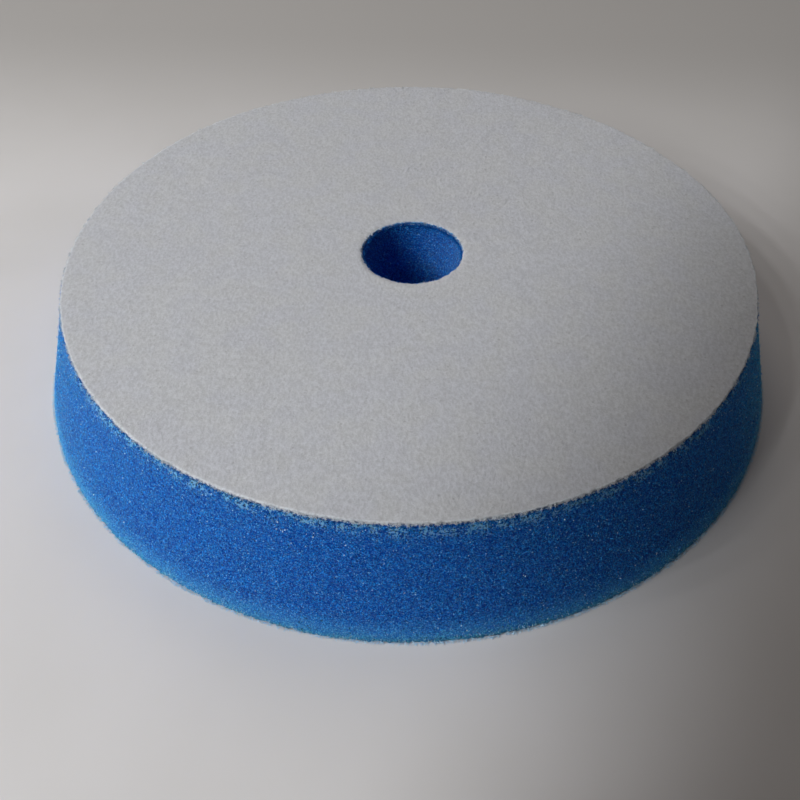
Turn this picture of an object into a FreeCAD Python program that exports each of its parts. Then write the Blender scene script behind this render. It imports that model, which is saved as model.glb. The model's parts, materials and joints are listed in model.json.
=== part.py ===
import FreeCAD, Part
import math
import os

import Sketcher

# Foam polishing pad with a hook-and-loop backing, in millimetres, +Z up.
# The pad lies on its working face, and the origin is the centre of that face.
# It is a laminate: a tapered foam disc, a hot-melt film, the backing's ground
# knit and its brushed loop pile. One centre hole is punched through them all.

# Each row is an alias in the sheet, its value in millimetres, and its meaning.
DIMENSIONS = [
    ("face_diameter", 166.0, "working face, the wide end of the foam"),
    ("backing_diameter", 150.0, "loop backing, and the narrow end of the foam"),
    ("hole_diameter", 22.0, "centre hole through every layer"),
    ("foam_thickness", 25.0, "foam, from the working face to the film"),
    ("film_thickness", 0.2, "hot-melt film that bonds the backing to the foam"),
    ("knit_thickness", 0.3, "ground knit that carries the loops"),
    ("pile_height", 0.5, "brushed loops that the plate's hooks catch"),
    ("face_edge_radius", 0.5, "rounding of the working face's rim"),
]

# The thin layers above the foam, from the lowest: node name and thickness alias.
LAYERS = [
    ("adhesive_film", "film_thickness"),
    ("backing_knit", "knit_thickness"),
    ("loop_pile", "pile_height"),
]

SHEET = "dimensions"
VOLUME_TOLERANCE = 0.001


def make_sheet(doc):
    """Write the driving dimensions to a spreadsheet, one alias to a row."""
    sheet = doc.addObject("Spreadsheet::Sheet", SHEET)
    for row, (alias, value, meaning) in enumerate(DIMENSIONS, start=1):
        sheet.set(f"A{row}", alias)
        sheet.set(f"B{row}", str(value))
        sheet.setAlias(f"B{row}", alias)
        sheet.set(f"C{row}", meaning)
    doc.recompute()
    return sheet


def cell(alias):
    """The expression that reads one dimension."""
    return f"{SHEET}.{alias}"


def origin_feature(body, role):
    """A plane or axis of the body's own origin."""
    return next(f for f in body.Origin.OriginFeatures if f.Role == role)


def add_body(doc, label):
    body = doc.addObject("PartDesign::Body", label)
    body.Label = label
    body.Placement = FreeCAD.Placement()
    return body


def add_sketch(body, name, plane):
    sketch = body.newObject("Sketcher::SketchObject", name)
    sketch.AttachmentSupport = [(origin_feature(body, plane), "")]
    sketch.MapMode = "FlatFace"
    return sketch


def drive(sketch, constraint, name, expression):
    """Add a dimension to a sketch and bind it to an expression."""
    index = sketch.addConstraint(constraint)
    sketch.renameConstraint(index, name)
    sketch.setExpression(f"Constraints.{name}", expression)


def add_circle(sketch, name, alias):
    """A circle about the pad's axis, with its diameter from the sheet."""
    plane_normal = FreeCAD.Vector(0, 0, 1)
    radius = getattr(sketch.Document.getObject(SHEET), alias) / 2
    circle = sketch.addGeometry(Part.Circle(FreeCAD.Vector(), plane_normal, radius))
    sketch.addConstraint(Sketcher.Constraint("Coincident", circle, 3, -1, 1))
    drive(sketch, Sketcher.Constraint("Diameter", circle, 2 * radius), name, cell(alias))


def foam_profile(body, dims):
    """Half section of the tapered disc, on the XZ plane with the axis at x = 0."""
    sketch = add_sketch(body, "foam_profile", "XZ_Plane")
    face_radius = dims.face_diameter / 2
    backing_radius = dims.backing_diameter / 2
    corners = [
        FreeCAD.Vector(0, 0, 0),
        FreeCAD.Vector(face_radius, 0, 0),
        FreeCAD.Vector(backing_radius, dims.foam_thickness, 0),
        FreeCAD.Vector(0, dims.foam_thickness, 0),
    ]
    face, side, back, axis = (
        sketch.addGeometry(Part.LineSegment(start, end))
        for start, end in zip(corners, corners[1:] + corners[:1])
    )
    for line, following in ((face, side), (side, back), (back, axis), (axis, face)):
        sketch.addConstraint(Sketcher.Constraint("Coincident", line, 2, following, 1))
    sketch.addConstraint(Sketcher.Constraint("Coincident", face, 1, -1, 1))
    sketch.addConstraint(Sketcher.Constraint("Horizontal", face))
    sketch.addConstraint(Sketcher.Constraint("Horizontal", back))
    sketch.addConstraint(Sketcher.Constraint("Vertical", axis))
    drive(sketch, Sketcher.Constraint("DistanceX", face, 1, face, 2, face_radius),
          "face_radius", f"{cell('face_diameter')} / 2")
    drive(sketch, Sketcher.Constraint("DistanceX", back, 2, back, 1, backing_radius),
          "backing_radius", f"{cell('backing_diameter')} / 2")
    drive(sketch, Sketcher.Constraint("DistanceY", axis, 2, axis, 1, dims.foam_thickness),
          "thickness", cell("foam_thickness"))
    return sketch


def make_foam_body(doc, dims):
    """Open-cell foam disc: turned to its taper, punched, with a softened face rim."""
    body = add_body(doc, "foam_body")
    profile = foam_profile(body, dims)
    disc = body.newObject("PartDesign::Revolution", "foam_disc")
    disc.Profile = profile
    disc.ReferenceAxis = (profile, ["V_Axis"])
    disc.Angle = 360.0
    doc.recompute()

    hole_circle = add_sketch(body, "foam_hole_circle", "XY_Plane")
    add_circle(hole_circle, "hole_diameter", "hole_diameter")
    hole = body.newObject("PartDesign::Pocket", "foam_centre_hole")
    hole.Profile = hole_circle
    hole.Type = "ThroughAll"
    hole.Reversed = True
    doc.recompute()

    rim = body.newObject("PartDesign::Fillet", "working_face_rim")
    rim.Base = (hole, [face_rim_edge(hole.Shape, dims)])
    rim.setExpression("Radius", cell("face_edge_radius"))
    body.Tip = rim
    return body


def face_rim_edge(shape, dims):
    """The name of the circular edge round the working face."""
    for number, edge in enumerate(shape.Edges, start=1):
        round_edge = isinstance(edge.Curve, Part.Circle)
        if round_edge and math.isclose(edge.Curve.Radius, dims.face_diameter / 2):
            return f"Edge{number}"
    raise RuntimeError("the foam has no rim at its working face")


def make_layer(doc, label, thickness_alias, aliases_below):
    """One flat ring of the backing, lying on everything named in aliases_below."""
    body = add_body(doc, label)
    outline = add_sketch(body, f"{label}_outline", "XY_Plane")
    add_circle(outline, "outer_diameter", "backing_diameter")
    add_circle(outline, "hole_diameter", "hole_diameter")
    height = " + ".join(cell(alias) for alias in aliases_below)
    outline.setExpression(".AttachmentOffset.Base.z", height)
    ring = body.newObject("PartDesign::Pad", f"{label}_ring")
    ring.Profile = outline
    ring.setExpression("Length", cell(thickness_alias))
    body.Tip = ring
    return body


def check_document(doc):
    """Stop if any feature failed: recompute alone doesn't say so."""
    for item in doc.Objects:
        if {"Invalid", "Error"} & set(item.State):
            raise RuntimeError(f"{item.Label} failed: {item.State}")


def check_volume(body, expected):
    """Stop if a sub-part's shape is empty, broken or not the volume it should have."""
    shape = body.Shape
    if shape.isNull() or not shape.isValid() or len(shape.Solids) != 1:
        raise RuntimeError(f"{body.Label} isn't one valid solid")
    if not math.isclose(shape.Volume, expected, rel_tol=VOLUME_TOLERANCE):
        raise RuntimeError(f"{body.Label} is {shape.Volume:.0f} mm3, not {expected:.0f}")
    box = shape.optimalBoundingBox(False)
    print(f"{body.Label}: {shape.Volume:.1f} mm3, z {box.ZMin:.2f} to {box.ZMax:.2f}, "
          f"diameter {box.XLength:.2f}")


def foam_volume(dims):
    """A cone's frustum less the hole; the rim's rounding is within the tolerance."""
    face_radius = dims.face_diameter / 2
    backing_radius = dims.backing_diameter / 2
    squares = face_radius**2 + face_radius * backing_radius + backing_radius**2
    hole_square = (dims.hole_diameter / 2) ** 2
    return math.pi * dims.foam_thickness * (squares / 3 - hole_square)


def layer_volume(dims, thickness_alias):
    ring_area = math.pi * (dims.backing_diameter**2 - dims.hole_diameter**2) / 4
    return ring_area * getattr(dims, thickness_alias)


def main():
    doc = FreeCAD.newDocument("polishing_pad")
    dims = make_sheet(doc)
    foam = make_foam_body(doc, dims)
    below = ["foam_thickness"]
    layers = []
    for label, thickness_alias in LAYERS:
        layers.append(make_layer(doc, label, thickness_alias, below))
        below = below + [thickness_alias]
    doc.recompute()
    check_document(doc)

    check_volume(foam, foam_volume(dims))
    for body, (label, thickness_alias) in zip(layers, LAYERS):
        check_volume(body, layer_volume(dims, thickness_alias))

    os.makedirs("parts", exist_ok=True)
    for body in [foam] + layers:
        body.Shape.exportStep(f"parts/{body.Label}.step")


main()
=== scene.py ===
import itertools
import json
import math

import bpy
import numpy as np
from mathutils import Matrix, Vector


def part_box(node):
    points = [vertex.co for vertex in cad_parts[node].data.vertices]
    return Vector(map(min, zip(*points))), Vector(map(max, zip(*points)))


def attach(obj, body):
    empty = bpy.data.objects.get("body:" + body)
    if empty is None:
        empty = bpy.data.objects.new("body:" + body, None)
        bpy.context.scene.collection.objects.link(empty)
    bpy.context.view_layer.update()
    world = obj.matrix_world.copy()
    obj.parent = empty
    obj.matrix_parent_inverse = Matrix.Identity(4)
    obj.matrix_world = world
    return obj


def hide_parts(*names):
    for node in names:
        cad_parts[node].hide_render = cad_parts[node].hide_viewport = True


# Looks of a foam polishing pad lying on its working face, loop backing up.
# Everything is in metres, and every size comes from the frame or from MM.

MM = 0.001
TURN = 2 * math.pi
UP = np.array([0.0, 0.0, 1.0])

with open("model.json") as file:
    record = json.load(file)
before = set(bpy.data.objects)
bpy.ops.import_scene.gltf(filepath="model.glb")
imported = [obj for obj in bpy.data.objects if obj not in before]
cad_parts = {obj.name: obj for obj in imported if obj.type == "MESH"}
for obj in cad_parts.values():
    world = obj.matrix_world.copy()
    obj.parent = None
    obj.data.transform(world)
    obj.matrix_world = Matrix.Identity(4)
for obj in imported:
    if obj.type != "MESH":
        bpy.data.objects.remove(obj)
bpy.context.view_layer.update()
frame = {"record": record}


# ---------------------------------------------------------------- the frame's sizes

_, foam_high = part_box("foam_body")
film_low, film_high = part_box("adhesive_film")
knit_low, knit_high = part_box("backing_knit")
pile_low, pile_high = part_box("loop_pile")
bore = next(m for m in frame["record"]["mounts"] if m["name"] == "centre_hole")

FACE_RADIUS = foam_high.x
BACKING_RADIUS = knit_high.x
HOLE_RADIUS = bore["dims"]["r_mm"] * MM
CLOTH_HOLE_RADIUS = HOLE_RADIUS + 0.20 * MM  # the cloth is worn back round the hole
FOAM_TOP = foam_high.z
SIDE_SLANT = math.atan2(FACE_RADIUS - BACKING_RADIUS, FOAM_TOP)


# ---------------------------------------------------------------- repeatable noise

# Large odd numbers that scramble a cell's place and seed into a random-looking number.
CELL_FACTORS = (73856093, 19349663, 83492791)
SEED_FACTOR = 2654435761
SHIFTS_AND_FACTORS = ((15, 2246822519), (13, 3266489917))
WORD = 0xFFFFFFFF


def random_cell(cells, seed):
    """A repeatable number from 0 to 1 for each whole-numbered cell."""
    x, y, z = (cells[..., k].astype(np.int64) * CELL_FACTORS[k] for k in range(3))
    mixed = x ^ y ^ z ^ (seed * SEED_FACTOR)
    for shift, factor in SHIFTS_AND_FACTORS:
        mixed = ((mixed ^ (mixed >> shift)) * factor) & WORD
    return (mixed ^ (mixed >> 16)) / WORD


def smooth_noise(points, size, seed):
    """Noise from -1 to 1 whose features are about size across."""
    scaled = points / size
    base = np.floor(scaled)
    part = scaled - base
    part = part * part * (3 - 2 * part)
    total = np.zeros(len(points))
    for corner in np.ndindex(2, 2, 2):
        weight = np.prod(np.where(corner, part, 1 - part), axis=1)
        total += weight * random_cell(base + corner, seed)
    return 2 * total - 1


def random_block(points, size, seed):
    """A repeatable number from 0 to 1, the same all over each cube of that size."""
    return random_cell(np.floor(points / size), seed)


def layered_noise(points, *layers):
    """Smooth noises added up. A layer is its height, the size of its features, its seed."""
    return sum(height * smooth_noise(points, size, seed) for height, size, seed in layers)


def cell_depth(points, size, seed):
    """Depth into the nearest foam cell: 0 at a cell's wall, 1 at its middle."""
    scaled = points / size
    base = np.floor(scaled)
    nearest = np.full(len(points), np.inf)
    for step in np.ndindex(3, 3, 3):
        cell = base + np.array(step) - 1
        middle = cell + np.stack([random_cell(cell, seed + k) for k in range(3)], axis=1)
        nearest = np.minimum(nearest, np.linalg.norm(scaled - middle, axis=1))
    return np.clip(1 - nearest / 0.75, 0, 1)


# ---------------------------------------------------------------- mesh building

# Within these radii, a flat face's rings have a quarter and an eighth of the points.
QUARTER_WITHIN = 46 * MM
EIGHTH_WITHIN = 23 * MM


def add_mesh(name, points, faces, material, smooth=True):
    """A new object with that mesh and one material."""
    mesh = bpy.data.meshes.new(name)
    mesh.from_pydata(points.tolist(), [], faces)
    mesh.materials.append(material)
    mesh.polygons.foreach_set("use_smooth", [smooth] * len(mesh.polygons))
    mesh.update()
    piece = bpy.data.objects.new(name, mesh)
    bpy.context.scene.collection.objects.link(piece)
    return piece


def halvings(count):
    """A ring's whole count of points, then a half, a quarter and an eighth of it."""
    return count, count // 2, count // 4, count // 8


def stitch(first, count, second, next_count):
    """Faces between two rings of points, which start at index first and second. One ring
    may have twice the other's points."""
    if count == next_count:
        i = np.arange(count)
        j = (i + 1) % count
        return np.stack([first + i, first + j, second + j, second + i], axis=1).tolist()
    fine, coarse, coarse_count = first, second, next_count
    if count < next_count:
        fine, coarse, coarse_count = second, first, count
    k = np.arange(coarse_count)
    near, far = coarse + k, coarse + (k + 1) % coarse_count
    left, middle = fine + 2 * k, fine + 2 * k + 1
    right = fine + (2 * k + 2) % (2 * coarse_count)
    triangles = [(left, middle, near), (middle, far, near), (middle, right, far)]
    faces = np.concatenate([np.stack(t, axis=1) for t in triangles])
    if count < next_count:
        faces = faces[:, ::-1]
    return faces.tolist()


def lathe(rings):
    """A closed body of revolution. Each ring is (radius, height, points round it),
    in order round the section, anticlockwise with the axis at the left."""
    starts = np.cumsum([0] + [count for _, _, count in rings])
    rows = []
    for radius, height, count in rings:
        angle = TURN * np.arange(count) / count
        level = np.full(count, height)
        rows.append(np.stack([radius * np.cos(angle), radius * np.sin(angle), level], axis=1))
    faces = []
    for here, (_, _, count) in enumerate(rings):
        after = (here + 1) % len(rings)
        faces += stitch(int(starts[here]), count, int(starts[after]), rings[after][2])
    return np.concatenate(rows), faces


def line_of_rings(start, end, spacing, count):
    """Rings from start towards end, (radius, height) each, without the end itself."""
    steps = max(1, round(math.dist(start, end) / spacing))
    rings = []
    for k in range(steps):
        share = k / steps
        radius = start[0] + (end[0] - start[0]) * share
        height = start[1] + (end[1] - start[1]) * share
        rings.append((radius, height, count))
    return rings


def flat_rings(radii, height, spacing, counts):
    """Rings over a flat face, with a point count for each stretch between radii."""
    rings = []
    for start, end, count in zip(radii, radii[1:], counts):
        rings += line_of_rings((start, height), (end, height), spacing, count)
    return rings


def polar(points):
    """Each point's distance from the axis and its unit vector away from the axis."""
    radius = np.hypot(points[:, 0], points[:, 1])
    outward = points * (1, 1, 0) / radius[:, None]
    return radius, outward


def around_axis(angle):
    """Level unit vectors away from the axis, one for each angle."""
    return np.stack([np.cos(angle), np.sin(angle), np.zeros(len(angle))], axis=1)


def angle_of(points):
    """The angle of each point round the axis, from -pi to pi."""
    return np.arctan2(points[:, 1], points[:, 0])


def unit(vectors):
    """The vectors at a length of 1."""
    return vectors / np.linalg.norm(vectors, axis=-1, keepdims=True)


def tubes(paths, radii):
    """Closed three-sided tubes along paths, an array of (tube, point, xyz). radii has one
    radius for each point."""
    sides = 3
    tube_count, steps, _ = paths.shape
    along = unit(np.gradient(paths, axis=1))
    helper = np.where(np.abs(along[..., 2:]) < 0.9, UP, (1.0, 0.0, 0.0))
    across = unit(np.cross(along, helper))
    third = np.cross(along, across)
    angle = TURN * np.arange(sides) / sides
    spokes = (np.cos(angle)[:, None] * across[:, :, None, :]
              + np.sin(angle)[:, None] * third[:, :, None, :])
    points = paths[:, :, None, :] + radii[:, :, None, None] * spokes
    index = np.arange(tube_count * steps * sides).reshape(tube_count, steps, sides)
    faces = []
    for side in range(sides):
        after = (side + 1) % sides
        here, there = index[:, :, side], index[:, :, after]
        wall = [here[:, :-1], here[:, 1:], there[:, 1:], there[:, :-1]]
        faces += np.stack(wall, axis=-1).reshape(-1, 4).tolist()
    faces += index[:, 0, :].tolist()
    faces += index[:, -1, ::-1].tolist()
    return points.reshape(-1, 3), faces


# ---------------------------------------------------------------- materials

class Nodes:
    """Shorthand for building one material's node tree."""

    def __init__(self, name):
        self.material = bpy.data.materials.new(name)
        self.material.use_nodes = True
        self.tree = self.material.node_tree
        self.surface = self.tree.nodes["Principled BSDF"]
        self.place = self.add("ShaderNodeTexCoord").outputs["Object"]

    def add(self, kind, **settings):
        node = self.tree.nodes.new(kind)
        for key, value in settings.items():
            setattr(node, key, value)
        return node

    def feed(self, socket, value):
        """Link another node's socket to this one, or set a plain value on it."""
        if isinstance(value, bpy.types.NodeSocket):
            self.tree.links.new(value, socket)
        else:
            socket.default_value = value

    def noise(self, size, detail=2.0, roughness=0.5, place=None):
        """Noise from 0 to 1 whose features are about size across."""
        node = self.add("ShaderNodeTexNoise")
        self.feed(node.inputs["Vector"], place or self.place)
        node.inputs["Scale"].default_value = 1 / size
        node.inputs["Detail"].default_value = detail
        node.inputs["Roughness"].default_value = roughness
        return node.outputs["Fac"]

    def nearest_dot(self, spacing):
        """The distance to the nearest of random dots, as a share of their spacing."""
        node = self.add("ShaderNodeTexVoronoi", feature="F1")
        self.feed(node.inputs["Vector"], self.place)
        node.inputs["Scale"].default_value = 1 / spacing
        return node.outputs["Distance"]

    def ridges(self, size):
        """Thin winding lines: 1 along each line, 0 between them."""
        from_middle = self.maths("SUBTRACT", self.noise(size, detail=0.0), 0.5)
        return self.remap(self.maths("ABSOLUTE", from_middle, 0.0), 0.09, 0.02)

    def stretched(self, factors, turn=0.0):
        """The place, turned about Z and then scaled along each axis."""
        node = self.add("ShaderNodeMapping")
        self.feed(node.inputs["Vector"], self.place)
        node.inputs["Scale"].default_value = factors
        node.inputs["Rotation"].default_value = (0, 0, turn)
        return node.outputs["Vector"]

    def along(self, axis):
        """The place along X, Y or Z. Z is the height above the working face."""
        node = self.add("ShaderNodeSeparateXYZ")
        self.feed(node.inputs[0], self.place)
        return node.outputs[axis]

    def from_axis(self):
        """The distance from the pad's axis."""
        node = self.add("ShaderNodeVectorMath", operation="LENGTH")
        self.feed(node.inputs[0], self.stretched((1, 1, 0)))
        return node.outputs["Value"]

    def remap(self, value, low, high, to_low=0.0, to_high=1.0):
        """A smooth step from to_low at low to to_high at high. low may be the greater."""
        node = self.add("ShaderNodeMapRange", interpolation_type="SMOOTHSTEP")
        inputs = ("Value", "From Min", "From Max", "To Min", "To Max")
        for name, setting in zip(inputs, (value, low, high, to_low, to_high)):
            self.feed(node.inputs[name], setting)
        return node.outputs["Result"]

    def maths(self, operation, first, second):
        node = self.add("ShaderNodeMath", operation=operation)
        self.feed(node.inputs[0], first)
        self.feed(node.inputs[1], second)
        return node.outputs[0]

    def times(self, first, second):
        return self.maths("MULTIPLY", first, second)

    def plus(self, first, second):
        return self.maths("ADD", first, second)

    def mix(self, share, first, second, blend="MIX"):
        """Two colours mixed, with that share of the second."""
        node = self.add("ShaderNodeMix", data_type="RGBA", blend_type=blend)
        self.feed(node.inputs["Factor"], share)
        for socket, colour in ((node.inputs[6], first), (node.inputs[7], second)):
            plain = not isinstance(colour, bpy.types.NodeSocket)
            self.feed(socket, (*colour, 1) if plain else colour)
        return node.outputs[2]

    def grey(self, value):
        """A grey colour of that brightness."""
        node = self.add("ShaderNodeCombineColor")
        for socket in node.inputs:
            self.feed(socket, value)
        return node.outputs[0]

    def bump(self, value, depth, strength=1.0, under=None):
        """A normal bumped by value, on top of another bumped normal if there is one."""
        node = self.add("ShaderNodeBump")
        node.inputs["Strength"].default_value = strength
        node.inputs["Distance"].default_value = depth
        self.feed(node.inputs["Height"], value)
        if under is not None:
            self.feed(node.inputs["Normal"], under)
        return node.outputs["Normal"]

    def finish(self, colour, roughness, normal=None, **others):
        """Feed the surface. Others are its inputs' names with _ for each space."""
        self.feed(self.surface.inputs["Base Color"], colour)
        self.feed(self.surface.inputs["Roughness"], roughness)
        if normal is not None:
            self.feed(self.surface.inputs["Normal"], normal)
        for name, value in others.items():
            self.feed(self.surface.inputs[name.replace("_", " ")], value)
        return self.material


def toned(colour, factor):
    """The colour times a factor, with no channel above 1."""
    return tuple(min(1.0, factor * channel) for channel in colour)


FOAM_DEEP = (0.0014, 0.050, 0.330)
FOAM_BLUE = (0.0026, 0.090, 0.495)
FOAM_STRUT = (0.0300, 0.350, 0.940)
FOAM_FOOT_GLOW = (0.0400, 0.310, 0.930)
FOAM_FOOT_STRUT_GLOW = (0.1200, 0.560, 1.000)
FOAM_WINDOW_GLINT = (0.2600, 0.660, 1.000)
FOAM_FLECK = (0.2400, 0.580, 0.940)
FOAM_PIT_SHADE = (0.0005, 0.010, 0.060)
FOAM_SHEEN = (0.6600, 0.820, 0.660, 1)

FOAM_GRAIN = 0.44 * MM
# Painted glow: the foot is painted paler up to this height, in place of floor bounce.
FOOT_GLOW_HEIGHT = 6.5 * MM  # how high the paler foot reaches
FLECK_DEPTH = 4.2 * MM  # how far below the film the adhesive flecks reach
# Painted shade darkens the foam this far below the film.
FILM_SHADE_DEPTH = 0.8 * MM  # how far below the film the foam is darker


def foam_material():
    """Open cells cut through: a tangle of lighter struts over deeper blue, rare bright cell
    windows painted as glints, pale adhesive flecks, dark pits of painted shade crowding near the
    film, and a foot painted paler, a glow standing in for floor bounce through the foam."""
    n = Nodes("blue_foam")
    height = n.along("Z")
    colour = n.mix(n.remap(n.noise(0.42 * MM, 1.0), 0.38, 0.62), FOAM_DEEP, FOAM_BLUE)
    # Painted light: the foot is painted paler, a glow in place of floor bounce and light through
    # the foam.
    foot_glow = n.remap(height, FOOT_GLOW_HEIGHT, 0.1 * MM)
    colour = n.mix(n.times(foot_glow, 0.58), colour, FOAM_FOOT_GLOW)

    struts = n.maths("MAXIMUM", n.ridges(0.40 * MM), n.ridges(0.28 * MM))
    strength = n.remap(n.noise(0.34 * MM), 0.42, 0.60)
    # Struts near the floor carry the same painted glow.
    strut_colour = n.mix(foot_glow, FOAM_STRUT, FOAM_FOOT_STRUT_GLOW)
    colour = n.mix(n.times(struts, strength), colour, strut_colour)
    # Painted glints: rare bright spots, as if cell windows caught the light.
    window_glints = n.remap(n.noise(0.27 * MM, 0.0), 0.73, 0.79)
    colour = n.mix(n.times(window_glints, 0.9), colour, FOAM_WINDOW_GLINT)

    patches = n.remap(n.noise(2.4 * MM), 0.40, 0.56, 0.18, 1.0)
    outside = n.remap(n.from_axis(), 20 * MM, 40 * MM)
    near_film = n.remap(height, FOAM_TOP - FLECK_DEPTH, FOAM_TOP - 0.2 * MM)
    near_film = n.times(near_film, n.times(patches, outside))
    grain = n.noise(FOAM_GRAIN, 1.0)
    flecks = n.remap(n.plus(grain, n.times(near_film, 0.235)), 0.63, 0.70)
    colour = n.mix(n.times(flecks, near_film), colour, FOAM_FLECK)

    # Painted shade: dark pits all over the foam, crowded just under the film.
    film_shade = n.remap(height, FOAM_TOP - FILM_SHADE_DEPTH, FOAM_TOP - 0.2 * MM)
    turned_grain = n.noise(FOAM_GRAIN, 1.0, place=n.stretched((1, 1, 1), turn=0.8))
    more_pit_shade = n.times(n.maths("MAXIMUM", near_film, film_shade), 0.12)
    pit_shade = n.remap(n.plus(turned_grain, more_pit_shade), 0.64, 0.74)
    colour = n.mix(n.times(pit_shade, 0.75), colour, FOAM_PIT_SHADE)

    cut = n.bump(struts, 0.12 * MM, 0.8)
    cut = n.bump(n.noise(0.30 * MM, 1.0), 0.12 * MM, 0.7, cut)
    return n.finish(colour, 0.85, cut, Specular_IOR_Level=0.06, Sheen_Weight=0.32,
                    Sheen_Roughness=0.25, Sheen_Tint=FOAM_SHEEN, Subsurface_Weight=0.9,
                    Subsurface_Radius=(0.3, 0.7, 1.0), Subsurface_Scale=6.5 * MM)


STRUT_TIP = (0.05, 0.42, 0.95)
STRUT_TIP_FOOT_GLOW = (0.62, 0.86, 1.00)


def strut_material():
    """Cut strut ends: mixed blues, darker with painted shade against the film and painted nearly
    white at the foot as a glow.
    """
    n = Nodes("foam_strut")
    height = n.along("Z")
    colour = n.mix(n.remap(n.noise(0.6 * MM), 0.35, 0.60), FOAM_BLUE, STRUT_TIP)
    # Painted shade just under the film.
    film_shade = n.remap(height, FOAM_TOP - FILM_SHADE_DEPTH, FOAM_TOP)
    colour = n.mix(n.times(film_shade, 0.6), colour, FOAM_DEEP)
    # Painted glow at the foot, in place of floor bounce.
    foot_glow = n.remap(height, 3.0 * MM, 0.2 * MM)
    colour = n.mix(n.times(foot_glow, 0.9), colour, STRUT_TIP_FOOT_GLOW)
    return n.finish(colour, 0.85, Specular_IOR_Level=0.05)


CRUMB_OF_FOAM = (0.10, 0.44, 0.88)
CRUMB_OF_ADHESIVE = (0.72, 0.92, 1.00)


def crumb_material():
    """Crumbs, most of them foam and some of them bright adhesive."""
    n = Nodes("adhesive_crumb")
    adhesive = n.remap(n.noise(0.8 * MM), 0.47, 0.61)
    colour = n.mix(adhesive, CRUMB_OF_FOAM, CRUMB_OF_ADHESIVE)
    return n.finish(colour, 0.7, Specular_IOR_Level=0.2)


FILM_SOAKED = (0.010, 0.10, 0.34)
FILM_CLOUDY = (0.50, 0.68, 0.80)


def film_material():
    """Melted film: soaked into the foam in places, and cloudy where it stands on it."""
    n = Nodes("hot_melt")
    colour = n.mix(n.remap(n.noise(0.6 * MM, 1.0), 0.47, 0.58), FILM_SOAKED, FILM_CLOUDY)
    return n.finish(colour, 0.5, n.bump(n.noise(0.3 * MM), 0.1 * MM))


PILE_GREY = (0.540, 0.560, 0.600)
KNIT_GREY = (0.600, 0.630, 0.670)
LOOP_GREY = (0.600, 0.620, 0.660)
RIM_FIBRE_GREY = (0.660, 0.720, 0.780)
WORN_AND_LIT_YARN = (0.700, 0.750, 0.800)
WARM_TINT = (1.0, 0.995, 0.98)
COOL_TINT = (0.985, 0.985, 1.0)
NOTCH_SHADE = (0.010, 0.060, 0.200)
DRAGGED_DEEP = (0.006, 0.100, 0.380)
DRAGGED_PALE = (0.060, 0.300, 0.580)


def pile_material(name, colour):
    """Brushed loops: a soft mottle, faint combing and a few dark specks. At the
    cut edges the yarn is worn whiter and painted lighter against their shade, painted shade
    shows as dark blue notches low on the rim, and foam was dragged up the edge of the hole."""
    n = Nodes(name)
    height = n.along("Z")
    combed = n.stretched((1.7, 1.0, 1.0), turn=0.25)
    tufts = n.noise(0.95 * MM, 3.0, 0.6, combed)
    shade = n.mix(n.remap(tufts, 0.30, 0.70), toned(colour, 0.88), toned(colour, 1.07))
    fine = n.remap(n.noise(0.30 * MM, 1.0), 0.25, 0.75, 0.94, 1.05)
    shade = n.mix(1.0, shade, n.grey(fine), "MULTIPLY")
    blotches = n.remap(n.noise(7 * MM, 2.0), 0.35, 0.65)
    shade = n.mix(1.0, shade, n.mix(blotches, WARM_TINT, COOL_TINT), "MULTIPLY")
    # A few darker specks over the nap.
    dark_specks = n.remap(n.nearest_dot(2.3 * MM), 0.15, 0.05)
    shade = n.mix(n.times(dark_specks, 0.40), shade, toned(colour, 0.45))

    out = n.from_axis()
    rim = n.remap(out, BACKING_RADIUS - 0.45 * MM, BACKING_RADIUS)
    mouth = n.remap(out, CLOTH_HOLE_RADIUS + 0.40 * MM, CLOTH_HOLE_RADIUS)
    worn = n.remap(n.noise(0.55 * MM, 1.0), 0.35, 0.60, 0.10, 0.90)
    # Worn whiter yarn plus a painted highlight that lifts the shade on the rim and the hole's
    # mouth.
    shade = n.mix(n.times(n.maths("MAXIMUM", rim, mouth), worn), shade, WORN_AND_LIT_YARN)

    upright = n.noise(0.55 * MM, 0.0, place=n.stretched((1, 1, 0.35)))
    low_down = n.remap(height, knit_high.z + 0.30 * MM, knit_low.z + 0.05 * MM)
    # Painted shade: dark blue notches low on the rim's wall.
    shaded_notches = n.times(n.remap(upright, 0.45, 0.53), n.times(low_down, rim))
    shade = n.mix(shaded_notches, shade, NOTCH_SHADE)
    reach = n.plus(height, n.times(upright, -0.5 * MM))
    dragged = n.remap(reach, pile_high.z - 0.30 * MM, pile_high.z - 0.50 * MM)
    dragged_foam = n.mix(worn, DRAGGED_DEEP, DRAGGED_PALE)
    shade = n.mix(n.times(dragged, mouth), shade, dragged_foam)

    nap = n.bump(tufts, 0.22 * MM, 0.6)
    nap = n.bump(n.noise(0.24 * MM, 1.0), 0.06 * MM, 0.5, nap)
    return n.finish(shade, 0.95, nap, Specular_IOR_Level=0.15, Sheen_Weight=0.25,
                    Sheen_Roughness=0.6)


def fibre_material(name, colour):
    """Single fibres, a little uneven in shade."""
    n = Nodes(name)
    shade = n.mix(n.noise(1.2 * MM), toned(colour, 0.85), colour)
    return n.finish(shade, 0.8, Specular_IOR_Level=0.3)


# ---------------------------------------------------------------- the foam

SIDE_POINTS = 1080
SIDE_SPACING = 0.46 * MM
FACE_SPACING = 1.1 * MM
BORE_SPACING = 0.5 * MM
RIM_ROUNDING = 0.5 * MM

SIDE_STRUTS = 5600
TOP_STRUTS = 3000
FOOT_STRUTS = 4900
MOUTH_STRUTS = 1100
BORE_STRUTS = 500
FILM_CRUMBS = 1900
SIDE_CRUMBS = 2600


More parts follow.
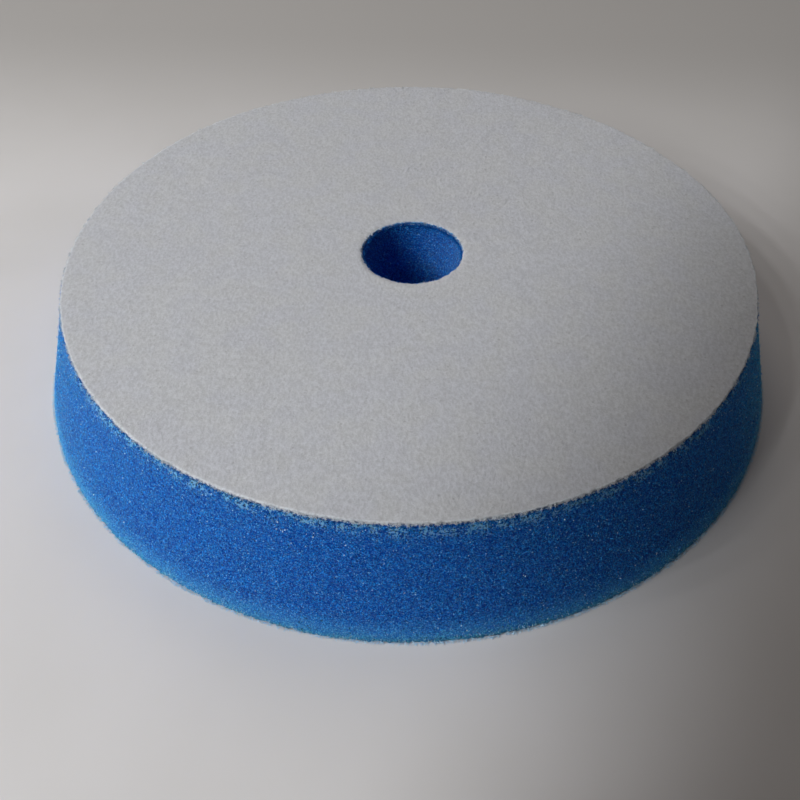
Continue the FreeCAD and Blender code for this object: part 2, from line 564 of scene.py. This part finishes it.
def foam_rings():
    """The foam's section: up the side, in over the back, down the hole, out below."""
    rim_top = (FACE_RADIUS - RIM_ROUNDING * math.sin(SIDE_SLANT), RIM_ROUNDING)
    full, half, quarter, eighth = halvings(SIDE_POINTS)
    rings = line_of_rings(rim_top, (BACKING_RADIUS, FOAM_TOP), SIDE_SPACING, full)
    rings.append((BACKING_RADIUS, FOAM_TOP, full))
    for share, count in ((0.97, half), (0.6, quarter), (0.3, eighth)):
        rings.append((share * BACKING_RADIUS, FOAM_TOP, count))
    rings += line_of_rings((HOLE_RADIUS, FOAM_TOP), (HOLE_RADIUS, 0), BORE_SPACING, eighth)
    rings += flat_rings((HOLE_RADIUS, EIGHTH_WITHIN, QUARTER_WITHIN, 81 * MM), 0, FACE_SPACING,
                        (eighth, quarter, half))
    rings.append((81.6 * MM, 0, half))
    rings.append((FACE_RADIUS - 0.5 * MM, 0, full))
    rings.append((FACE_RADIUS - 0.1 * MM, 0.1 * MM, full))
    return rings


def steeper_cut(angle, height):
    """How far inside its cone the side is: the cut runs a little steeper at the right."""
    most, middle, width = 0.60 * MM, -0.10, 0.45
    return most * np.exp(-((angle - middle) / width) ** 2) * (1 - height / FOAM_TOP)


def make_foam(material):
    """The foam, roughened cell by cell, with torn teeth at the side's two edges."""
    points, faces = lathe(foam_rings())
    radius, outward = polar(points)
    height = points[:, 2]
    on_side = (radius > BACKING_RADIUS - 0.1 * MM) & (height > 0.05 * MM)
    on_bore = radius < HOLE_RADIUS + 0.01 * MM
    on_face = height < 0.01 * MM

    cells = cell_depth(points, 1.15 * MM, seed=11)
    jitter = random_block(points, 0.2 * MM, seed=5) - 0.5
    swell = smooth_noise(points, 14 * MM, seed=3)
    inward = 0.20 * MM * cells + 0.22 * MM * jitter - 0.12 * MM * swell
    near_edge = np.exp(-np.minimum(height, FOAM_TOP - height) / (0.35 * MM))
    inward += 0.75 * MM * near_edge * np.abs(smooth_noise(points, 0.9 * MM, seed=8))
    at_foot = np.exp(-height / (0.6 * MM))
    inward += 0.24 * MM * at_foot * (random_block(points, 0.3 * MM, seed=9) - 0.6)
    inward += steeper_cut(angle_of(points), height)
    push = np.where(on_side, -inward, 0) + np.where(on_bore, 0.6 * inward, 0)
    points = points + outward * push[:, None]
    points[:, 2] += np.where(on_face, 0.25 * MM * cells, 0)
    return add_mesh("foam", points, faces, material)


def side_places(random, heights):
    """Points just under the foam's side at those heights, and the way out of it there."""
    angle = random.uniform(-math.pi, math.pi, len(heights))
    radius = BACKING_RADIUS + (FOAM_TOP - heights) * math.tan(SIDE_SLANT) - 0.05 * MM
    radius -= steeper_cut(angle, heights)
    around = around_axis(angle)
    places = around * radius[:, None]
    places[:, 2] = heights
    return places, around


def add_bent_tubes(name, material, random, places, ways, lengths, thickness):
    """Short bent tubes that start at places and lean along ways. None is below the floor."""
    bend = random.normal(0, 0.35, places.shape)
    middle = places + ways * lengths[:, None] * 0.5 + bend * lengths[:, None] * 0.4
    end = places + ways * lengths[:, None]
    start = places - ways * 0.1 * MM
    paths = np.stack([start, middle, end], axis=1)
    radii = thickness[:, None] * np.array([1.0, 0.9, 0.55])
    paths[..., 2] = np.maximum(paths[..., 2], 0.06 * MM)
    points, faces = tubes(paths, radii)
    return add_mesh(name, points, faces, material, smooth=False)


def make_struts(material):
    """Cut ends of cell struts: over the side, and crowded along its two edges."""
    random = np.random.default_rng(seed=21)
    over_side = random.uniform(0.3 * MM, FOAM_TOP, SIDE_STRUTS)
    at_top = FOAM_TOP - random.exponential(0.3 * MM, TOP_STRUTS)
    at_foot = 0.08 * MM + random.exponential(0.25 * MM, FOOT_STRUTS)
    heights = np.clip(np.concatenate([over_side, at_top, at_foot]), 0.08 * MM, FOAM_TOP)
    places, around = side_places(random, heights)
    lean_up = np.where(heights > FOAM_TOP - 0.5 * MM, 0.7, 0.1)
    ways = around * 0.8 + random.normal(0, 0.7, places.shape)
    ways = unit(ways + UP * lean_up[:, None])
    lengths = random.uniform(0.20 * MM, 0.60 * MM, len(places))
    near_edge = np.abs(heights - FOAM_TOP / 2) > FOAM_TOP / 2 - 0.8 * MM
    lengths += np.where(near_edge, 0.10 * MM, 0)
    thickness = random.uniform(0.040 * MM, 0.080 * MM, len(places))
    thickness *= np.where(heights < 0.8 * MM, 0.7, 1.0)
    return add_bent_tubes("foam_cut_struts", material, random, places, ways, lengths, thickness)


def make_hole_struts(material):
    """Strut ends on the hole's wall, crowded at its mouth, where they lean up."""
    random = np.random.default_rng(seed=22)
    near_mouth = random.exponential(0.35 * MM, MOUTH_STRUTS)
    over_wall = random.uniform(0, FOAM_TOP, BORE_STRUTS)
    depths = np.concatenate([near_mouth, over_wall])
    heights = np.clip(FOAM_TOP - depths, 0.1 * MM, FOAM_TOP)
    around = around_axis(random.uniform(0, TURN, len(heights)))
    places = around * (HOLE_RADIUS + 0.05 * MM)
    places[:, 2] = heights
    at_mouth = heights > FOAM_TOP - 0.6 * MM
    lean_in = np.where(at_mouth, 0.3, 1.0)
    lean_up = np.where(at_mouth, 1.2, 0.0)
    ways = random.normal(0, 0.5, places.shape) - around * lean_in[:, None]
    ways = unit(ways + UP * lean_up[:, None])
    lengths = random.uniform(0.20 * MM, 0.65 * MM, len(places))
    lengths = lengths + np.where(at_mouth, 0.30 * MM, 0)
    thickness = random.uniform(0.045 * MM, 0.080 * MM, len(places))
    return add_bent_tubes("hole_cut_struts", material, random, places, ways, lengths, thickness)


def icosahedron():
    """The corners and triangles of an icosahedron of radius 1."""
    golden = (1 + math.sqrt(5)) / 2
    corners = [(0, a, b * golden) for a in (-1, 1) for b in (-1, 1)]
    corners = np.array([np.roll(corner, k) for k in range(3) for corner in corners])
    corners = corners / math.hypot(1, golden)
    apart = np.linalg.norm(corners[:, None] - corners[None], axis=2)
    joined = np.abs(apart - np.min(apart[apart > 0.1])) < 0.01
    faces = []
    for a, b, c in itertools.combinations(range(len(corners)), 3):
        if joined[a, b] and joined[b, c] and joined[a, c]:
            normal = np.cross(corners[b] - corners[a], corners[c] - corners[a])
            faces.append((a, b, c) if np.dot(normal, corners[a]) > 0 else (a, c, b))
    return corners, np.array(faces)


def make_crumbs(material):
    """Crumbs of foam and adhesive that the cut left on the side, thickest near the film."""
    random = np.random.default_rng(seed=31)
    near_film = random.exponential(2.1 * MM, FILM_CRUMBS)
    over_side = random.uniform(0, FOAM_TOP, SIDE_CRUMBS)
    depths = np.concatenate([near_film, over_side])
    heights = np.clip(FOAM_TOP - depths, 0.4 * MM, FOAM_TOP - 0.05 * MM)
    places, around = side_places(random, heights)
    crowding = 0.5 + 0.5 * smooth_noise(places, 4 * MM, seed=33)
    kept = random.uniform(0, 1, len(places)) < 1.3 * crowding
    places = places[kept] + around[kept] * 0.07 * MM

    corners, faces = icosahedron()
    size = random.triangular(0.05 * MM, 0.08 * MM, 0.18 * MM, (len(places), 1, 1))
    squash = random.uniform(0.5, 1.3, (len(places), 1, 3))
    uneven = random.uniform(0.75, 1.2, (len(places), len(corners), 1))
    points = places[:, None, :] + corners[None] * size * squash * uneven
    starts = len(corners) * np.arange(len(places))
    faces = (faces[None] + starts[:, None, None]).reshape(-1, 3)
    return add_mesh("adhesive_crumbs", points.reshape(-1, 3), faces.tolist(), material)


# ---------------------------------------------------------------- the backing

RIM_POINTS = 1440
NAP_SPACING = 0.62 * MM

NAP_LOOPS = 6500
RIM_FIBRES = 4200
HOLE_FIBRES = 620


def thin_ring_rings(low, high, edge_rows, spacing):
    """The section of a thin flat ring with fine edges: outer wall, top, inner wall, base."""
    full, half, quarter, eighth = halvings(RIM_POINTS)
    outer, inner = BACKING_RADIUS, CLOTH_HOLE_RADIUS
    step = (high - low) / edge_rows
    rings = line_of_rings((outer, low), (outer, high), step, full)
    rings.append((outer, high, full))
    rings += flat_rings((outer - 0.4 * MM, QUARTER_WITHIN, EIGHTH_WITHIN, inner), high, spacing,
                        (half, quarter, eighth))
    rings += line_of_rings((inner, high), (inner, low), step, eighth)
    rings.append((inner, low, eighth))
    rings.append((EIGHTH_WITHIN, low, quarter))
    rings.append((QUARTER_WITHIN, low, half))
    rings.append((outer - 0.4 * MM, low, half))
    return rings


def pushed_rim(points, amount):
    """The points, with those on the backing's rim moved outward by amount."""
    radius, outward = polar(points)
    at_rim = radius > BACKING_RADIUS - 0.1 * MM
    return points + outward * np.where(at_rim, amount, 0)[:, None]


def make_film(material):
    """The film's squeezed-out rim wanders in and out of the cut."""
    points, faces = lathe(thin_ring_rings(film_low.z, film_high.z, edge_rows=2, spacing=12 * MM))
    wander = layered_noise(points, (0.16 * MM, 0.7 * MM, 41), (0.10 * MM, 2.5 * MM, 42))
    return add_mesh("squeezed_film", pushed_rim(points, wander), faces, material)


def make_knit(material):
    """The ground knit: a firm sheet whose cut edge shows the ends of its stitches."""
    points, faces = lathe(thin_ring_rings(knit_low.z, knit_high.z, edge_rows=3, spacing=6 * MM))
    stitches_round = 560
    stitches = 0.05 * MM * np.sin(angle_of(points) * stitches_round)
    frayed = layered_noise(points, (0.09 * MM, 0.6 * MM, 51))
    return add_mesh("ground_cloth", pushed_rim(points, stitches + frayed), faces, material)


def rim_lift(points):
    """How far the backing's rim stands up: a little everywhere, more where it has curled."""
    most_curl, middle, width = 0.45 * MM, 0.12, 0.30
    radius, _ = polar(points)
    edge = np.clip((radius - (BACKING_RADIUS - 5 * MM)) / (5 * MM), 0, 1) ** 2
    uneven = layered_noise(points * (1, 1, 0), (0.10 * MM, 12 * MM, 61))
    curl = most_curl * np.exp(-((angle_of(points) - middle) / width) ** 2)
    return edge * (uneven + curl)


def nap_rings():
    """The nap's section, rounded over at both of its edges."""
    full, half, quarter, eighth = halvings(RIM_POINTS)
    outer, inner = BACKING_RADIUS, CLOTH_HOLE_RADIUS
    low, high = pile_low.z, pile_high.z
    quarter_within, eighth_within = 48 * MM, 24 * MM
    rings = line_of_rings((outer, low), (outer, high - 0.2 * MM), 0.15 * MM, full)
    rings.append((outer - 0.04 * MM, high - 0.1 * MM, full))
    rings.append((outer - 0.14 * MM, high - 0.03 * MM, full))
    rings += flat_rings((outer - 0.4 * MM, quarter_within, eighth_within, inner + 0.5 * MM),
                        high, NAP_SPACING, (half, quarter, eighth))
    rings.append((inner + 0.25 * MM, high - 0.06 * MM, quarter))
    rings.append((inner + 0.06 * MM, high - 0.22 * MM, quarter))
    rings += line_of_rings((inner, high - 0.34 * MM), (inner, low), 0.16 * MM, quarter)
    rings.append((inner, low, quarter))
    rings.append((quarter_within, low, half))
    return rings


def make_pile(material):
    """The brushed loops as one soft, uneven nap with frayed edges."""
    points, faces = lathe(nap_rings())
    radius, outward = polar(points)
    on_top = points[:, 2] > pile_high.z - 0.25 * MM
    rise = layered_noise(points, (0.06 * MM, 0.9 * MM, 71), (0.05 * MM, 2.2 * MM, 72),
                         (0.10 * MM, 22 * MM, 73))
    rise += 0.05 * MM * (random_block(points, 0.2 * MM, seed=74) - 0.5)
    rise += rim_lift(points) - 0.06 * MM
    points[:, 2] += np.where(on_top, rise, 0)
    at_rim = radius > BACKING_RADIUS - 0.2 * MM
    at_hole = radius < CLOTH_HOLE_RADIUS + 0.3 * MM
    fray = layered_noise(points, (0.16 * MM, 0.9 * MM, 75), (0.12 * MM, 0.45 * MM, 76))
    push = np.where(at_rim, fray + 0.3 * rim_lift(points), 0) - np.where(at_hole, 1.4 * fray, 0)
    points = points + outward * push[:, None]
    return add_mesh("brushed_nap", points, faces, material)


def loop_paths(middles, ways, ups, widths, heights):
    """Arched loops about middles: along ways by widths, and up by heights."""
    arch = [(-1.0, -0.35), (-0.7, 0.65), (0.0, 1.0), (0.7, 0.65), (1.0, -0.35)]
    return np.stack([middles + ways * (a * widths)[:, None] + ups * (b * heights)[:, None]
                     for a, b in arch], axis=1)


def make_nap_loops(material):
    """Single loops that stand clear of the nap all over its top."""
    random = np.random.default_rng(seed=81)
    inner, outer = HOLE_RADIUS + 0.4 * MM, BACKING_RADIUS - 0.4 * MM
    radius = np.sqrt(random.uniform(inner**2, outer**2, NAP_LOOPS))
    middles = radius[:, None] * around_axis(random.uniform(0, TURN, NAP_LOOPS))
    middles[:, 2] = pile_high.z - 0.05 * MM + rim_lift(middles)
    ways = around_axis(random.normal(1.3, 0.8, NAP_LOOPS))
    ups = unit(UP + random.normal(0, 0.4, (NAP_LOOPS, 3)) * (1, 1, 0))
    widths = random.uniform(0.15 * MM, 0.42 * MM, NAP_LOOPS)
    heights = random.uniform(0.05 * MM, 0.16 * MM, NAP_LOOPS)
    paths = loop_paths(middles, ways, ups, widths, heights)
    radii = np.full(paths.shape[:2], 0.028 * MM)
    points, faces = tubes(paths, radii)
    return add_mesh("nap_loops", points, faces, material, smooth=False)


def clumped_angles(random, radius, count):
    """Angles that crowd into clumps well under a millimetre apart."""
    angle = random.uniform(0, TURN, 6 * count)
    rim = radius * around_axis(angle)
    crowded = smooth_noise(rim, 0.42 * MM, seed=93) + random.uniform(-0.15, 0.15, len(angle))
    return angle[np.argsort(-crowded)[:2 * count]][random.permutation(2 * count)[:count]]


def make_edge_fibres(material, name, radius, side, count, longest, seed):
    """Fibres cut loose at an edge of the backing. side is 1 outside, -1 in the hole."""
    random = np.random.default_rng(seed)
    around = around_axis(clumped_angles(random, radius, count))
    round_it = np.cross(UP, around)
    places = around * (radius - side * 0.12 * MM)
    places[:, 2] = random.uniform(knit_low.z + 0.05 * MM, pile_high.z - 0.05 * MM, count)
    places[:, 2] += rim_lift(places)
    tilt = random.normal(0, 0.6, count)
    droop = random.normal(-0.6, 0.5, count)
    ways = unit(side * around + round_it * tilt[:, None] + UP * droop[:, None])
    lengths = random.uniform(0.3, 1.0, count) * longest
    thickness = random.uniform(0.030 * MM, 0.060 * MM, count)
    return add_bent_tubes(name, material, random, places, ways, lengths, thickness)


# ---------------------------------------------------------------- the scene

def make_camera():
    """Looks down at the pad from in front, from a little over its own width away."""
    target = Vector((6.98 * MM, -46.07 * MM, pile_high.z))
    elevation, roll, distance = math.radians(45.56), math.radians(1.46), 181.9 * MM
    back = Vector((0, -math.cos(elevation), math.sin(elevation)))
    right = Vector((1, 0, 0))
    up = back.cross(right)
    right, up = (right * math.cos(roll) + up * math.sin(roll),
                 up * math.cos(roll) - right * math.sin(roll))
    data = bpy.data.cameras.new("camera")
    data.sensor_width = 36
    data.lens = 43.46
    data.shift_x = -0.05
    data.clip_start = 0.01
    camera = bpy.data.objects.new("camera", data)
    camera.matrix_world = Matrix((
        (right.x, up.x, back.x, 0),
        (right.y, up.y, back.y, 0),
        (right.z, up.z, back.z, 0),
        (0, 0, 0, 1),
    ))
    camera.location = target + back * distance
    bpy.context.scene.collection.objects.link(camera)
    bpy.context.scene.camera = camera


def link_light(data, place, target):
    """A light at place, aimed at target."""
    light = bpy.data.objects.new(data.name, data)
    light.location = place
    light.visible_camera = False
    light.rotation_euler = (Vector(target) - Vector(place)).to_track_quat("-Z", "Y").to_euler()
    bpy.context.scene.collection.objects.link(light)


def make_key_light():
    """A curved bank of soft lamps at the front left. Their barn doors put the right of the
    view in shade: each half-turn beam ends in a plane through the lamp and one common line
    on the floor."""
    to_shade = Vector((0.878, -0.479, 0))
    along_edge = Vector((0.479, 0.878, 0))
    edge_from_origin = 0.088
    bank_power = 17.6
    bank_distance = 0.60
    bank_middle = -0.565
    lamp_spacing = 0.15
    tilts = (25, 35, 45)
    steps = range(-2, 3)
    for tilt in tilts:
        lean = math.radians(tilt)
        away = to_shade * -math.sin(lean) + Vector((0, 0, math.cos(lean)))
        for step in steps:
            data = bpy.data.lights.new("key", "SPOT")
            data.energy = bank_power / (len(tilts) * len(steps))
            data.shadow_soft_size = 0.025
            data.spot_size = math.pi
            data.spot_blend = 0.03
            on_edge = to_shade * edge_from_origin
            on_edge = on_edge + along_edge * (bank_middle + step * lamp_spacing)
            place = on_edge + away * bank_distance
            link_light(data, place, place + away.cross(along_edge))


def make_top_light():
    """A broad, slightly warm light from above and behind."""
    data = bpy.data.lights.new("top", "AREA")
    data.size = 0.5
    data.energy = 1.15
    data.color = (1.0, 0.92, 0.85)
    link_light(data, (-0.08, 0.46, 0.66), (0, 0, 0.01))


ROOM_STRENGTH = 0.062
ROOM_COLOUR = (1.0, 0.94, 0.90, 1)
ROOM_SEEN = (0.60, 0.59, 0.58, 1)


def make_room():
    """A dim room all round, which the camera sees as a plain pale wall."""
    world = bpy.data.worlds.new("room")
    world.use_nodes = True
    nodes, links = world.node_tree.nodes, world.node_tree.links
    light = nodes["Background"]
    light.inputs["Color"].default_value = ROOM_COLOUR
    light.inputs["Strength"].default_value = ROOM_STRENGTH
    wall = nodes.new("ShaderNodeBackground")
    wall.inputs["Color"].default_value = ROOM_SEEN
    seen = nodes.new("ShaderNodeLightPath")
    choose = nodes.new("ShaderNodeMixShader")
    links.new(seen.outputs["Is Camera Ray"], choose.inputs["Fac"])
    links.new(light.outputs[0], choose.inputs[1])
    links.new(wall.outputs[0], choose.inputs[2])
    links.new(choose.outputs[0], nodes["World Output"].inputs["Surface"])
    bpy.context.scene.world = world


FLOOR_RADIUS = 9.0
FLOOR_POINTS = 96
BENCH_DARK = (0.68, 0.67, 0.665)
BENCH_LIGHT = (0.71, 0.70, 0.70)
BENCH_PAINTED_SHADE = (0.48, 0.47, 0.46)
BLACK = (0, 0, 0)


def make_floor():
    """A pale bench top, with painted shade making it a little darker behind the pad. Far from
    the pad it takes the wall's tone, so there is no skyline."""
    points = FLOOR_RADIUS * around_axis(TURN * np.arange(FLOOR_POINTS) / FLOOR_POINTS)
    n = Nodes("pale_floor")
    colour = n.mix(n.remap(n.noise(40 * MM, 3.0), 0.3, 0.7), BENCH_DARK, BENCH_LIGHT)
    # Painted shade: the bench is darker behind the pad.
    colour = n.mix(n.remap(n.along("Y"), 0.055, 0.165), colour, BENCH_PAINTED_SHADE)
    far = n.remap(n.from_axis(), 0.24, 0.46)
    colour = n.mix(far, colour, BLACK)
    grain = n.bump(n.noise(1.5 * MM, 3.0), 0.02 * MM, 0.3)
    material = n.finish(colour, 0.75, grain, Emission_Color=ROOM_SEEN, Emission_Strength=far)
    floor = add_mesh("floor", points, [list(range(FLOOR_POINTS))], material, smooth=False)


make_camera()
make_key_light()
make_top_light()
make_room()
make_floor()

strut_finish = strut_material()
loop_finish = fibre_material("loop_fibre", LOOP_GREY)
edge_finish = fibre_material("rim_fibre", RIM_FIBRE_GREY)

foam = make_foam(foam_material())
foam_struts = make_struts(strut_finish)
hole_struts = make_hole_struts(strut_finish)
crumbs = make_crumbs(crumb_material())
film = make_film(film_material())
knit = make_knit(pile_material("ground_knit", KNIT_GREY))
pile = make_pile(pile_material("brushed_loops", PILE_GREY))
nap_loops = make_nap_loops(loop_finish)
rim_fibres = make_edge_fibres(edge_finish, "rim_fibres", BACKING_RADIUS, side=1,
                              count=RIM_FIBRES, longest=0.75 * MM, seed=91)
hole_fibres = make_edge_fibres(edge_finish, "hole_fibres", CLOTH_HOLE_RADIUS, side=-1,
                               count=HOLE_FIBRES, longest=0.40 * MM, seed=92)

for piece, stands_for, slot in (
    (foam, ["foam_body"], "blue_foam"),
    (foam_struts, [], "blue_foam"),
    (hole_struts, [], "blue_foam"),
    (crumbs, [], "hot_melt"),
    (film, ["adhesive_film"], "hot_melt"),
    (knit, ["backing_knit"], "ground_knit"),
    (pile, ["loop_pile"], "brushed_loops"),
    (nap_loops, [], "brushed_loops"),
    (rim_fibres, [], "brushed_loops"),
    (hole_fibres, [], "brushed_loops"),
):
    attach(piece, "root")
    if stands_for:
        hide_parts(*stands_for)

bpy.context.scene.view_settings.view_transform = "Standard"

bpy.context.view_layer.update()
